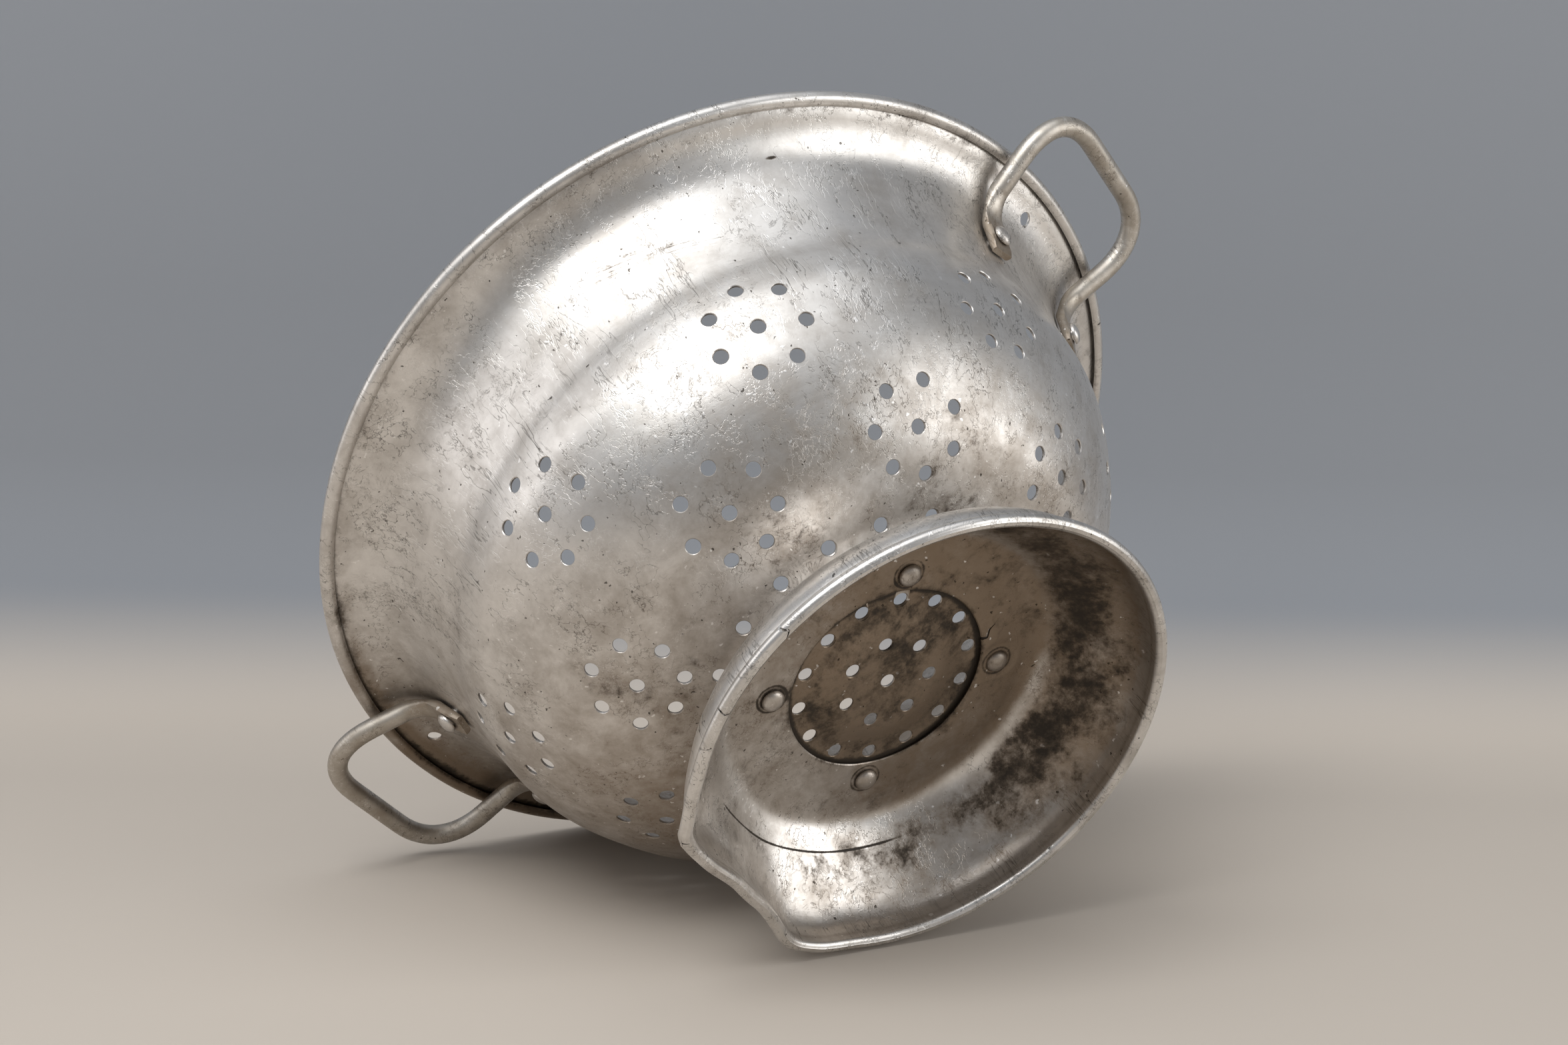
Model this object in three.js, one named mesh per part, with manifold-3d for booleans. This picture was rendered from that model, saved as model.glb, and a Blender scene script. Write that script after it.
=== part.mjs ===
// A footed colander of spun aluminium sheet: a perforated bowl with a flared flange and a rolled rim, a ring foot
// riveted under its bottom, and two handles bent from round rod and riveted to its wall.
// Millimetres, +Z up. The origin is under the middle of the foot, on the plane the foot rests on.

import * as THREE from "three";
import { mergeVertices } from "three/addons/utils/BufferGeometryUtils.js";
import Module from "manifold-3d";

const wasm = await Module();
wasm.setup();

// ---------- sheet and rim ----------
const SHEET = 1.0; // thickness of the bowl and of the foot
const RIM_R = 147.2; // middle of the rolled rim
const RIM_Z = 149.2;
const RIM_BEAD = 2.6; // outside radius of the roll

// ---------- bottom ----------
const BOTTOM_Z = 35.7; // underside of the flat bottom
const BOTTOM_R = 50;
const SAG = 2.2; // the middle of the bottom has sunk by this much
const SAG_FLAT_R = 16;
const SAG_R = 31;

// ---------- holes ----------
const HOLE_R = 2.38; // 3/16 inch drill
const HOLE_SIDES = 6;
const UPPER_CLUSTER_Z = 83; // middle height of the upper row of hole clusters
const UPPER_RING = 15.1; // radius of the ring of seven holes
const LOWER_CLUSTER_Z = 50.2;
const LOWER_RING = 14.9;
const LOWER_TURN = 23.5; // degrees the lower clusters are turned
const ODD_DROP = 2; // one lower cluster was punched a little low and turned
const ODD_TURN = 10.2;
const EDGE_HOLES = 20; // single holes round the bottom's step
const EDGE_HOLE_Z = 40.3;
const BOTTOM_RINGS = [
  { count: 14, radius: 30.25, phase: 4 },
  { count: 7, radius: 15.2, phase: -9 },
];
const HANG_HOLE = { x: 136.5, y: -8 }; // one hanging hole in the flange beside each handle

// ---------- foot ----------
const SEAT_TOP = 35.4; // the seat lies 0.3 under the bottom
const SEAT_IN_R = 34.3;
const FOOT_EDGE_R = 81.4; // middle of the rolled edge
const FOOT_BEAD = 2.1;
const FOOT_WORN = 1.4; // width of the flat worn on the roll where the foot rests
const DENT_AT = 184.5; // the edge has been knocked in here, degrees from +X
const DENT_HALF = 24;
const DENT_DEEP = 4.2;
const DENT_TOP = 24; // height at which the dent has died away

// ---------- handles ----------
const ROD_R = 3.5;
const BAR_X = 170.1; // grip bar, from the axis
const BAR_Z = 146;
const BAR_HALF = 37.2; // half the grip's width to its sharp corners
const CORNER_R = 20;
const LEG_AZ = 12.9; // where the legs meet the wall, degrees either side of the handle
const PADDLE_WIDE = 9.6;
const PADDLE_THICK = 3.2;
const PADDLE_TIP = { r: 123.2, z: 118.6 }; // middle of the paddle's thickness at its tip
const PADDLE_KNEE = { r: 127.1, z: 130.0 }; // and where the leg starts to bend away from the wall
const LEG_BEND = { r: 135.6, z: 139.4 }; // the leg turns outwards here, under the flange

// ---------- rivets ----------
const SHANK_R = 2.3;
const CLEAR = 0.3; // gap between touching pieces
const HEAD_R = 3.8;
const HANDLE_RIVET_Z = 125.5;
const FOOT_RIVET_R = 40.8;
const FOOT_RIVET_AZ = 43;

const rad = THREE.MathUtils.degToRad;
const v2 = (r, z) => new THREE.Vector2(r, z);
const v3 = (x, y, z) => new THREE.Vector3(x, y, z);
// A point from its radius, azimuth in degrees and height.
const polar = (r, az, z) => v3(r * Math.cos(rad(az)), r * Math.sin(rad(az)), z);

// ---------- solids ----------

// A three.js geometry as a closed solid that can be cut and joined.
function solid(geometry) {
  const g = geometry.index ? geometry.toNonIndexed() : geometry.clone();
  g.deleteAttribute("normal");
  g.deleteAttribute("uv");
  const merged = mergeVertices(g, 1e-4);
  return new wasm.Manifold(
    new wasm.Mesh({
      numProp: 3,
      vertProperties: merged.attributes.position.array,
      triVerts: new Uint32Array(merged.index.array),
    }),
  );
}

// A finished solid as a named mesh.
function mesh(name, made, material) {
  const m = made.getMesh();
  const g = new THREE.BufferGeometry();
  g.setAttribute("position", new THREE.BufferAttribute(m.vertProperties, 3));
  g.setIndex(new THREE.BufferAttribute(m.triVerts, 1));
  g.computeVertexNormals();
  const out = new THREE.Mesh(g, material);
  out.name = name;
  return out;
}

// A profile spun round the Z axis. Its first vertex column stands on +X.
function spun(profile, segments) {
  const g = new THREE.LatheGeometry(profile, segments);
  g.rotateX(Math.PI / 2);
  g.rotateZ(Math.PI / 2);
  return g;
}

// Points on a circular arc, angles in degrees from the +r direction.
function arc(centre, radius, from, to, steps) {
  const points = [];
  for (let i = 0; i <= steps; i++) {
    const a = rad(from + ((to - from) * i) / steps);
    points.push(v2(centre.x + radius * Math.cos(a), centre.y + radius * Math.sin(a)));
  }
  return points;
}

// Points of a curve at even spacing, moved sideways to its left by a distance.
function along(curve, steps, sideways = 0) {
  const points = [];
  for (let i = 0; i <= steps; i++) {
    const t = curve.getTangentAt(i / steps);
    const p = curve.getPointAt(i / steps);
    points.push(v2(p.x - t.y * sideways, p.y + t.x * sideways));
  }
  return points;
}

// A hole cutter through a sheet at a point, along its normal.
function cutter(at, normal, radius, sides) {
  const g = new THREE.CylinderGeometry(radius, radius, 9, sides);
  const q = new THREE.Quaternion().setFromUnitVectors(v3(0, 1, 0), normal);
  g.applyQuaternion(q);
  g.translate(at.x, at.y, at.z);
  return solid(g);
}

// ---------- bowl ----------

// The outside of the wall from the bottom's step up to the flange.
const wall = new THREE.SplineCurve([
  v2(BOTTOM_R, BOTTOM_Z),
  v2(53.6, 37.5),
  v2(57.5, 40.3),
  v2(66, 42.6),
  v2(76.5, 46.2),
  v2(85.7, 51.2),
  v2(97.1, 61.2),
  v2(105.6, 71.2),
  v2(111.5, 81.2),
  v2(116.1, 91.2),
  v2(117.9, 101.2),
  v2(118.5, 108.2),
  v2(120.0, 115.2),
  v2(122.0, 122.2),
  v2(124.3, 129.2),
  v2(127.4, 136.2),
  v2(131.5, 141.6),
  v2(137.4, 145.6),
  v2(143.3, 147.4),
]);
wall.arcLengthDivisions = 800;
const WALL_STEPS = 12;

const rim = v2(RIM_R, RIM_Z);
const bowlProfile = [
  v2(0, BOTTOM_Z - SAG),
  v2(SAG_FLAT_R, BOTTOM_Z - SAG),
  v2(SAG_R, BOTTOM_Z),
  ...along(wall, WALL_STEPS),
  ...arc(rim, RIM_BEAD - SHEET, 200, -130, 6),
  ...arc(rim, RIM_BEAD, -130, 160, 6),
  ...along(wall, WALL_STEPS, SHEET).reverse(),
  v2(SAG_R, BOTTOM_Z + SHEET),
  v2(SAG_FLAT_R, BOTTOM_Z - SAG + SHEET),
  v2(0, BOTTOM_Z - SAG + SHEET),
];

// How far along the wall its outside reaches a height, in millimetres from the bottom.
const wallLength = wall.getLength();
function lengthAt(z) {
  let low = 0;
  let high = wallLength;
  for (let i = 0; i < 40; i++) {
    const middle = (low + high) / 2;
    if (wall.getPointAt(middle / wallLength).y < z) low = middle;
    else high = middle;
  }
  return low;
}

// The point and the outward normal on the wall, a length along it and at an azimuth.
function onWall(length, az) {
  const p = wall.getPointAt(length / wallLength);
  const t = wall.getTangentAt(length / wallLength);
  return { at: polar(p.x, az, p.y), normal: polar(t.y, az, -t.x), r: p.x };
}

// Seven holes in a ring and one in its middle, laid out on the wall. The turn is in degrees from the rim.
function cluster(az, z, ring, turn) {
  const middle = lengthAt(z);
  const holes = [onWall(middle, az)];
  for (let i = 0; i < 7; i++) {
    const a = rad(turn + (360 * i) / 7);
    const length = middle + ring * Math.cos(a);
    const r = (onWall(length, az).r + onWall(middle, az).r) / 2;
    holes.push(onWall(length, az + THREE.MathUtils.radToDeg((ring * Math.sin(a)) / r)));
  }
  return holes.map((h) => cutter(h.at, h.normal, HOLE_R * 1.05, HOLE_SIDES));
}

const up = v3(0, 0, 1);
const cuts = [];
for (let k = 0; k < 8; k++) {
  cuts.push(...cluster(22.5 + 45 * k, UPPER_CLUSTER_Z, UPPER_RING, 0));
  const odd = k === 5;
  const z = LOWER_CLUSTER_Z - (odd ? ODD_DROP : 0);
  cuts.push(...cluster(45 * k, z, LOWER_RING, 90 - LOWER_TURN - (odd ? ODD_TURN : 0)));
}
for (let k = 0; k < EDGE_HOLES; k++) {
  const h = onWall(lengthAt(EDGE_HOLE_Z), -3 + (360 * k) / EDGE_HOLES);
  cuts.push(cutter(h.at, h.normal, HOLE_R * 1.05, HOLE_SIDES));
}
for (const ring of BOTTOM_RINGS)
  for (let k = 0; k < ring.count; k++) {
    const at = polar(ring.radius, ring.phase + (360 * k) / ring.count, BOTTOM_Z);
    cuts.push(cutter(at, up, HOLE_R * 1.05, HOLE_SIDES));
  }
cuts.push(cutter(v3(0, 0, BOTTOM_Z - SAG), up, HOLE_R * 1.05, HOLE_SIDES));
for (const side of [1, -1]) {
  const at = v3(side * HANG_HOLE.x, HANG_HOLE.y, 145.5);
  cuts.push(cutter(at, up, HOLE_R * 1.05, HOLE_SIDES));
}

// ---------- rivet places ----------

const rivetHeight = lengthAt(HANDLE_RIVET_Z);
const lean = Math.atan2(PADDLE_KNEE.r - PADDLE_TIP.r, PADDLE_KNEE.z - PADDLE_TIP.z);
const handleRivets = [LEG_AZ, 180 - LEG_AZ, 180 + LEG_AZ, -LEG_AZ].map((az) => ({
  at: onWall(rivetHeight, az).at,
  normal: polar(Math.cos(lean), az, -Math.sin(lean)),
}));
const footRivets = [0, 1, 2, 3].map((k) => ({
  at: polar(FOOT_RIVET_R, FOOT_RIVET_AZ + 90 * k, BOTTOM_Z),
  normal: v3(0, 0, -1),
}));
const rivetHole = (place) => cutter(place.at, place.normal, SHANK_R + CLEAR + 0.1, 12);
const rivetHoles = wasm.Manifold.union([...handleRivets, ...footRivets].map(rivetHole));

const bowlSolid = solid(spun(bowlProfile, 36))
  .subtract(wasm.Manifold.union(cuts))
  .subtract(rivetHoles);

// ---------- foot ----------

// The outside of the skirt, from the rolled edge up to the seat.
const skirt = new THREE.SplineCurve([
  v2(FOOT_EDGE_R - FOOT_BEAD + SHEET, FOOT_BEAD),
  v2(80.4, 9),
  v2(77.4, 15.4),
  v2(71.3, 21.6),
  v2(65.5, 27.4),
  v2(60.6, 32.2),
  v2(56.6, 34.7),
  v2(51.5, SEAT_TOP),
]);
const footEdge = v2(FOOT_EDGE_R, FOOT_BEAD);
const footProfile = [
  v2(SEAT_IN_R, SEAT_TOP),
  v2(SEAT_IN_R, SEAT_TOP - SHEET),
  ...along(skirt, 8, SHEET).reverse().slice(0, -1),
  ...arc(footEdge, FOOT_BEAD, -180, -112, 2),
  v2(FOOT_EDGE_R - FOOT_WORN / 2, 0),
  v2(FOOT_EDGE_R + FOOT_WORN / 2, 0),
  ...arc(footEdge, FOOT_BEAD, -68, 105, 5),
  ...arc(footEdge, FOOT_BEAD - SHEET, 105, -180, 5),
  ...along(skirt, 8).slice(1),
  v2(SEAT_IN_R, SEAT_TOP),
];

const footGeometry = spun(footProfile, 48);
const spot = v3(0, 0, 0);
const points = footGeometry.attributes.position;
for (let i = 0; i < points.count; i++) {
  spot.fromBufferAttribute(points, i);
  const az = THREE.MathUtils.radToDeg(Math.atan2(spot.y, spot.x));
  const from = THREE.MathUtils.euclideanModulo(az - DENT_AT + 180, 360) - 180;
  const u = from / DENT_HALF;
  const push = DENT_DEEP * (1 - u * u) * Math.exp((-u * u) / 1.5);
  const fade = THREE.MathUtils.smoothstep(DENT_TOP - spot.z, 0, DENT_TOP);
  const r = Math.hypot(spot.x, spot.y);
  const moved = (r - push * fade) / r;
  points.setXY(i, spot.x * moved, spot.y * moved);
}
const footSolid = solid(footGeometry).subtract(rivetHoles);

// ---------- handles ----------

// A path of straight runs with a rounded corner of given radius at each inner point.
function rounded(corners, radii) {
  const path = new THREE.CurvePath();
  let from = corners[0];
  for (let i = 1; i < corners.length - 1; i++) {
    const back = corners[i - 1].clone().sub(corners[i]).normalize();
    const on = corners[i + 1].clone().sub(corners[i]).normalize();
    const trim = radii[i - 1] / Math.tan(back.angleTo(on) / 2);
    const start = corners[i].clone().addScaledVector(back, trim);
    const end = corners[i].clone().addScaledVector(on, trim);
    path.add(new THREE.LineCurve3(from, start));
    path.add(new THREE.QuadraticBezierCurve3(start, corners[i], end));
    from = end;
  }
  path.add(new THREE.LineCurve3(from, corners[corners.length - 1]));
  return path;
}

// One leg's corners from its tip on the wall to the grip's corner, on the +Y or -Y side.
const leg = (side) => [
  polar(PADDLE_TIP.r, side * LEG_AZ, PADDLE_TIP.z),
  polar(PADDLE_KNEE.r, side * LEG_AZ, PADDLE_KNEE.z),
  polar(LEG_BEND.r, side * LEG_AZ, LEG_BEND.z),
  v3(BAR_X, side * BAR_HALF, BAR_Z),
];

function handleSolid() {
  const corners = [...leg(-1), ...leg(1).reverse()];
  const path = rounded(corners, [16, 9, CORNER_R, CORNER_R, 9, 16]);
  const round = new THREE.Shape().absarc(0, 0, ROD_R, 0, 2 * Math.PI);
  const g = new THREE.ExtrudeGeometry(round, { steps: 76, curveSegments: 5, extrudePath: path, bevelEnabled: false });
  // Each end is hammered flat against the wall: thin across the wall, wide along it.
  const p = g.attributes.position;
  for (const side of [1, -1]) {
    const [tip, knee] = leg(side);
    const axis = knee.clone().sub(tip).normalize();
    const across = polar(1, side * LEG_AZ + 90, 0);
    const out = across.clone().cross(axis).normalize();
    for (let i = 0; i < p.count; i++) {
      spot.fromBufferAttribute(p, i);
      if (spot.y * side < 0) continue;
      const from = spot.clone().sub(tip);
      const flat = 1 - THREE.MathUtils.smoothstep(from.dot(axis), 12, 22);
      const o = from.dot(out);
      const a = from.dot(across);
      if (flat === 0 || Math.abs(o) > 9) continue;
      const thin = 1 - flat * (1 - PADDLE_THICK / (2 * ROD_R));
      const wide = 1 + flat * (PADDLE_WIDE / (2 * ROD_R) - 1);
      spot.addScaledVector(out, o * (thin - 1)).addScaledVector(across, a * (wide - 1));
      p.setXYZ(i, spot.x, spot.y, spot.z);
    }
  }
  return solid(g);
}

const rightHandle = handleSolid();
const leftHandle = rightHandle.rotate([0, 0, 180]);

// ---------- rivets ----------

// A solid rivet: a domed head outside, a low head inside. The origin is on the sheet's outside, +Z points out.
function rivetSolid(outside, inside) {
  const top = outside + CLEAR;
  const under = -(SHEET + inside);
  const profile = [
    v2(0, under - 1.1),
    v2(HEAD_R - 1.2, under - 1.1),
    v2(HEAD_R - 0.3, under),
    v2(SHANK_R, under),
    v2(SHANK_R, top),
    v2(HEAD_R, top),
    v2(HEAD_R * 0.82, top + 1.5),
    v2(HEAD_R * 0.45, top + 2.4),
    v2(0, top + 2.7),
  ];
  return spun(profile, 12);
}

function rivet(place, outside, inside) {
  const g = rivetSolid(outside, inside);
  g.applyQuaternion(new THREE.Quaternion().setFromUnitVectors(up, place.normal));
  g.translate(place.at.x, place.at.y, place.at.z);
  return solid(g);
}

// ---------- the part ----------

const spunSheet = new THREE.MeshStandardMaterial({ color: 0xb9b4ab, roughness: 0.42, metalness: 1 });
const footSheet = new THREE.MeshStandardMaterial({ color: 0xa8a196, roughness: 0.5, metalness: 1 });
const rod = new THREE.MeshStandardMaterial({ color: 0xc4c0b8, roughness: 0.34, metalness: 1 });
const rivetMetal = new THREE.MeshStandardMaterial({ color: 0xaea89e, roughness: 0.45, metalness: 1 });

const colander = new THREE.Group();
colander.name = "footed_colander";
colander.add(mesh("bowl", bowlSolid, spunSheet));
colander.add(mesh("foot_ring", footSolid, footSheet));
colander.add(mesh("handle_right", rightHandle.subtract(rivetHoles), rod));
colander.add(mesh("handle_left", leftHandle.subtract(rivetHoles), rod));
handleRivets.forEach((place, i) => {
  colander.add(mesh("handle_rivet_" + (i + 1), rivet(place, PADDLE_THICK + 0.75, 0.8), rivetMetal));
});
footRivets.forEach((place, i) => {
  colander.add(mesh("foot_rivet_" + (i + 1), rivet(place, CLEAR + SHEET, 0.35), rivetMetal));
});

export default colander;
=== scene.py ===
# A worn footed colander of spun aluminium, lying on its side on a pale table.
# Shapes are drawn in millimetres and built in metres, with +Z out of the bowl's mouth. The finishes, the
# lights and the table measure in metres.
import math

import bpy
from mathutils import Matrix, Vector
from mathutils.geometry import interpolate_bezier


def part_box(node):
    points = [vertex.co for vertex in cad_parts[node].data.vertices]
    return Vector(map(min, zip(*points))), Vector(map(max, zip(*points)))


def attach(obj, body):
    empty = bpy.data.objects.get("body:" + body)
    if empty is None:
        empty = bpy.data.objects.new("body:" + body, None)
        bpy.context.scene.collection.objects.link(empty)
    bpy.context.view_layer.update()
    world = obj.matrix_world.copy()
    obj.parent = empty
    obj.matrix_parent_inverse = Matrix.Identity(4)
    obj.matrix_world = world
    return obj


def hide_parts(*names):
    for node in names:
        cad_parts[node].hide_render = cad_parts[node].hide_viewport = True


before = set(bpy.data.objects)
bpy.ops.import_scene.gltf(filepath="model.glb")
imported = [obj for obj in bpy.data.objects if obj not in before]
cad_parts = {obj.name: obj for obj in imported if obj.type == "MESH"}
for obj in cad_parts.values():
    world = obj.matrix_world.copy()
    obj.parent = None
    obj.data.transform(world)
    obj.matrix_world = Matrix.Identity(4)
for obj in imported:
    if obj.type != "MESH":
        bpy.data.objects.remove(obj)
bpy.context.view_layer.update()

MM = 0.001
# Thickness of the sheet, and the radii of the rim's roll, the foot's roll, a drain hole, the handle's rod,
# and a rivet's hole.
SHEET = 1.0
RIM_ROLL = 2.6
FOOT_ROLL = 2.1
HOLE = 2.38
ROD = 3.5
RIVET_HOLE = 2.6

# The middles of both rolls, the top of the foot's seat, the bowl's underside and how far its middle is sunk.
# The CAD model's faceted rim stands CAD_ROLL_TOP over the middle of its roll.
CAD_ROLL_TOP = 2.4
RIM = (147.2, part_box("bowl")[1].z / MM - CAD_ROLL_TOP)
FOOT_EDGE = (81.4, FOOT_ROLL)
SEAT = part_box("foot_ring")[1].z / MM
BOTTOM = 35.7
SUNK = 2.2

# Each leg of a handle lies LEG_AZIMUTH degrees beside the handle's middle, and its tip and its knee lie along
# the wall. The grip's corners are drawn sharp, GRIP_HALF either side, and then rounded.
LEG_AZIMUTH = 12.9
TIP = (123.2, 118.6)
KNEE = (127.1, 130.0)
GRIP_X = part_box("handle_right")[1].x / MM - ROD
GRIP_HALF = 37.2
GRIP_Z = 146

# The height of the rivets through the wall, and the radius and first azimuth of those through the foot.
WALL_RIVETS = 125.5
FOOT_RIVETS = 40.8
FOOT_RIVET_AZIMUTH = 43

# Up from the table as the colander lies, in its own frame.
TABLE_UP = Vector((0.668, -0.623, 0.407)).normalized()

LINE_STEPS = 40
SAME_POINT = 0.002 * MM
DOWN = Vector((0, 0, -1))

# --------------------------------------------------------------------------------------------------
# Drawing and placing
# --------------------------------------------------------------------------------------------------


def smooth_line(points, steps):
    """Points of a smooth line through the given ones."""
    points = [Vector((r, 0, z)) for r, z in points]
    last = len(points) - 1
    line = []
    for i in range(last):
        here, there = points[i], points[i + 1]
        leave = here + (there - points[max(i - 1, 0)]) / 6
        arrive = there - (points[min(i + 2, last)] - here) / 6
        line += interpolate_bezier(here, leave, arrive, there, steps + 1)[:-1]
    return line + [points[last]]


class Outside:
    """The outside line of a spun sheet, measured along its length."""

    def __init__(self, points):
        self.line = smooth_line(points, LINE_STEPS)
        self.reach = [0.0]
        for a, b in zip(self.line, self.line[1:]):
            self.reach.append(self.reach[-1] + (b - a).length)
        self.length = self.reach[-1]

    def at(self, reach):
        """The point and the direction of the line after a length."""
        reach = min(max(reach, 0), self.length)
        i = 1
        while self.reach[i] < reach and i < len(self.reach) - 1:
            i += 1
        a, b = self.line[i - 1], self.line[i]
        share = (reach - self.reach[i - 1]) / (self.reach[i] - self.reach[i - 1])
        return a.lerp(b, share), (b - a).normalized()

    def rise(self, height):
        """The length at which the line reaches a height."""
        for i, point in enumerate(self.line):
            if point.z >= height:
                return self.reach[i]
        return self.length

    def skin(self, step, depth=0.0):
        """Points along the line about a step apart, moved into the sheet by a depth."""
        count = round(self.length / step)
        points = []
        for i in range(count + 1):
            here, way = self.at(self.length * i / count)
            points.append((here.x - way.z * depth, here.z + way.x * depth))
        return points


def arc(centre, radius, start, end, steps):
    """Points on an arc, angles in degrees."""
    turns = [math.radians(start + (end - start) * i / steps) for i in range(steps + 1)]
    return [(centre[0] + radius * math.cos(a), centre[1] + radius * math.sin(a)) for a in turns]


def only(piece):
    """Leaves one object selected and active."""
    bpy.ops.object.select_all(action="DESELECT")
    piece.select_set(True)
    bpy.context.view_layer.objects.active = piece


def close_and_turn_out(piece, distance):
    """Merges points closer than a distance and turns every face outwards."""
    only(piece)
    bpy.ops.object.mode_set(mode="EDIT")
    bpy.ops.mesh.select_all(action="SELECT")
    bpy.ops.mesh.remove_doubles(threshold=distance)
    bpy.ops.mesh.normals_make_consistent(inside=False)
    bpy.ops.object.mode_set(mode="OBJECT")


def spun(name, outline, steps):
    """An outline drawn point by point beside the axis and spun round it."""
    bpy.ops.object.select_all(action="DESELECT")
    bpy.ops.mesh.primitive_plane_add(size=MM, location=(outline[0][0] * MM, 0, outline[0][1] * MM))
    piece = bpy.context.object
    piece.name = name
    bpy.ops.object.transform_apply(location=True, rotation=True, scale=True)
    bpy.ops.object.mode_set(mode="EDIT")
    bpy.ops.mesh.merge(type="CENTER")
    for here, there in zip(outline, outline[1:]):
        way = ((there[0] - here[0]) * MM, 0, (there[1] - here[1]) * MM)
        bpy.ops.mesh.extrude_region_move(TRANSFORM_OT_translate={"value": way})
    bpy.ops.mesh.select_all(action="SELECT")
    bpy.ops.mesh.spin(steps=steps, angle=2 * math.pi, center=(0, 0, 0), axis=(0, 0, 1))
    bpy.ops.object.mode_set(mode="OBJECT")
    close_and_turn_out(piece, SAME_POINT)
    return piece


def scrap(piece):
    """Deletes one object."""
    only(piece)
    bpy.ops.object.delete()


def apply_all(piece):
    """Applies every modifier of a piece, in order."""
    only(piece)
    for modifier in list(piece.modifiers):
        bpy.ops.object.modifier_apply(modifier=modifier.name)


def cut(piece, tools):
    """Cuts the tools, joined into one, out of a piece."""
    bpy.ops.object.select_all(action="DESELECT")
    for tool in tools:
        tool.select_set(True)
    bpy.context.view_layer.objects.active = tools[0]
    if len(tools) > 1:
        bpy.ops.object.join()
    cutter = bpy.context.object
    only(piece)
    difference = piece.modifiers.new("cut", "BOOLEAN")
    difference.operation = "DIFFERENCE"
    difference.solver = "MANIFOLD"
    difference.object = cutter
    bpy.ops.object.modifier_apply(modifier=difference.name)
    scrap(cutter)


def copy_to(piece, name, place):
    """A copy of a piece with its own mesh, with its place in the mesh."""
    twin = piece.copy()
    twin.data = piece.data.copy()
    twin.name = name
    twin.data.transform(place)
    bpy.context.scene.collection.objects.link(twin)
    return twin


def polar(radius, azimuth, height):
    """A point at a radius, an azimuth in degrees and a height."""
    turn = math.radians(azimuth)
    return Vector((radius * math.cos(turn), radius * math.sin(turn), height))


def stand(at, normal):
    """The matrix that puts an upright thing at a point, its top along the normal."""
    turn = Vector(normal).to_track_quat("Z", "Y").to_matrix().to_4x4()
    return Matrix.Translation(Vector(at) * MM) @ turn


def push(piece, near, reach, way, size, falloff="SMOOTH"):
    """Moves the vertices within reach of a point, and the metal round them less and less."""
    only(piece)
    bpy.ops.object.mode_set(mode="EDIT")
    bpy.ops.mesh.select_all(action="DESELECT")
    bpy.ops.object.mode_set(mode="OBJECT")
    spot = Vector(near) * MM
    for vertex in piece.data.vertices:
        vertex.select = (vertex.co - spot).length < reach * MM
    bpy.ops.object.mode_set(mode="EDIT")
    bpy.ops.transform.translate(
        value=Vector(way) * MM,
        use_proportional_edit=True,
        proportional_edit_falloff=falloff,
        proportional_size=size * MM,
    )
    bpy.ops.object.mode_set(mode="OBJECT")


def mark_side(piece, name, outward, upward):
    """Marks the vertices that face a way: outward from the axis by so much, and upward by so much."""
    least = 0.15
    marked = piece.data.attributes.new(name, "FLOAT", "POINT")
    for vertex in piece.data.vertices:
        away = Vector((vertex.co.x, vertex.co.y, 0)).normalized()
        facing = outward * vertex.normal.dot(away) + upward * vertex.normal.z
        marked.data[vertex.index].value = 1.0 if facing > least else 0.0


# --------------------------------------------------------------------------------------------------
# Bowl
# --------------------------------------------------------------------------------------------------

# From the edge of the flat bottom, up the wall and out to the flange.
wall = Outside(
    [
        (50, BOTTOM),
        (53.6, 37.5),
        (57.5, 40.3),
        (66, 42.6),
        (76.5, 46.2),
        (85.7, 51.2),
        (97.1, 61.2),
        (105.6, 71.2),
        (111.5, 81.2),
        (116.1, 91.2),
        (117.9, 101.2),
        (118.5, 108.2),
        (120.0, 115.2),
        (122.0, 122.2),
        (124.3, 129.2),
        (127.4, 136.2),
        (131.5, 141.6),
        (137.4, 145.6),
        (143.3, 147.4),
    ]
)
SLOPE_OUT = 31
SLOPE_RUN = 15
slope = []
for i in range(9):
    fall = SUNK / 2 * (1 - math.cos(math.pi * i / 8))
    slope.append((SLOPE_OUT - SLOPE_RUN * i / 8, BOTTOM - fall))
under = [(0, BOTTOM - SUNK), (8, BOTTOM - SUNK), *slope[::-1], (38, BOTTOM), (44, BOTTOM)]
WALL_STEP = 2.0
bowl_outline = [
    *under,
    *wall.skin(WALL_STEP),
    *arc(RIM, RIM_ROLL - SHEET, 200, -130, 18),
    *arc(RIM, RIM_ROLL, -130, 160, 22),
    *wall.skin(WALL_STEP, SHEET)[::-1],
    *[(r, z + SHEET) for r, z in under[::-1]],
]
bowl = spun("colander_bowl", bowl_outline, 240)

# Years of knocks have left the spun wall faintly wavy.
waves = bpy.data.textures.new("knocked_wall", "CLOUDS")
waves.noise_scale = 0.045
waves.noise_depth = 1
wavy = bowl.modifiers.new("knocks", "DISPLACE")
wavy.texture = waves
wavy.texture_coords = "LOCAL"
wavy.strength = 0.35 * MM
wavy.mid_level = 0.5
apply_all(bowl)

# One punch, flared at both faces of the sheet for the hole's soft edges, copied to every drain hole.
REACH = 4
punch_outline = [
    (0, REACH),
    (HOLE + 0.5, REACH),
    (HOLE + 0.28, 0.05),
    (HOLE, -0.25),
    (HOLE, -0.8),
    (HOLE + 0.22, -1.05),
    (HOLE + 0.5, -REACH),
    (0, -REACH),
]
punch = spun("drain_punch", punch_outline, 28)


def on_wall(reach, azimuth):
    """The spot and outward direction on the wall, a length up it and at an azimuth."""
    here, way = wall.at(reach)
    return polar(here.x, azimuth, here.z), polar(way.z, azimuth, -way.x)


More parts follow.
